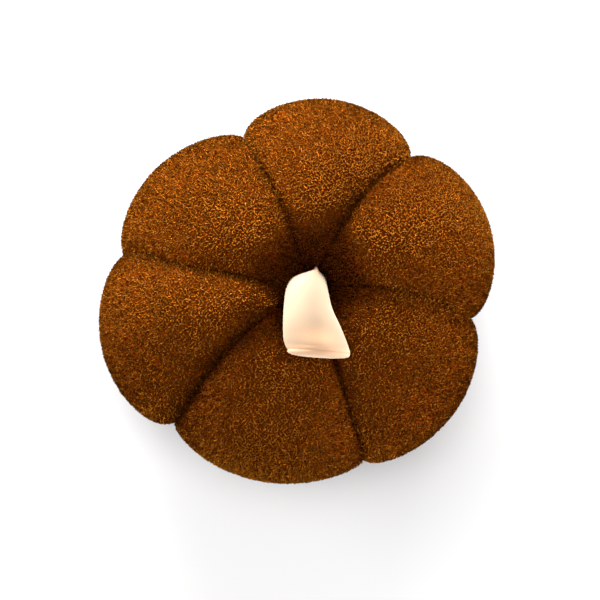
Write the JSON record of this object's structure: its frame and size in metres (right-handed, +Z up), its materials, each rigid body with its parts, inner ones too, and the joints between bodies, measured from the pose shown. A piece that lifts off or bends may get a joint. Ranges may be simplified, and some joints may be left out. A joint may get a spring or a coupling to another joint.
{
  "type": "pumpkin cushion",
  "caption": "Pumpkin-shaped filled cushion with stuffed lobes drawn in along seams to a central dimple, and a hooked stuffed stem.",
  "frame": {"origin": "on the surface that the cushion lies on, under the middle of its outline", "axes": "+Z up out of the dimple, -Y the side that the stem hooks over, +X to the right in the picture"},
  "size_m": [0.3376, 0.33, 0.2193],
  "materials": {
    "teddy_brown": "curled teddy fleece, rust brown",
    "velvet_cream": "short-pile velvet, warm cream",
    "velvet_cream_end": "short-pile velvet, warm cream, seen along its pile"
  },
  "bodies": {
    "root": {"pumpkin_body": "teddy_brown", "stem": "velvet_cream", "stem_end": "velvet_cream_end"}
  },
  "joints": []
}
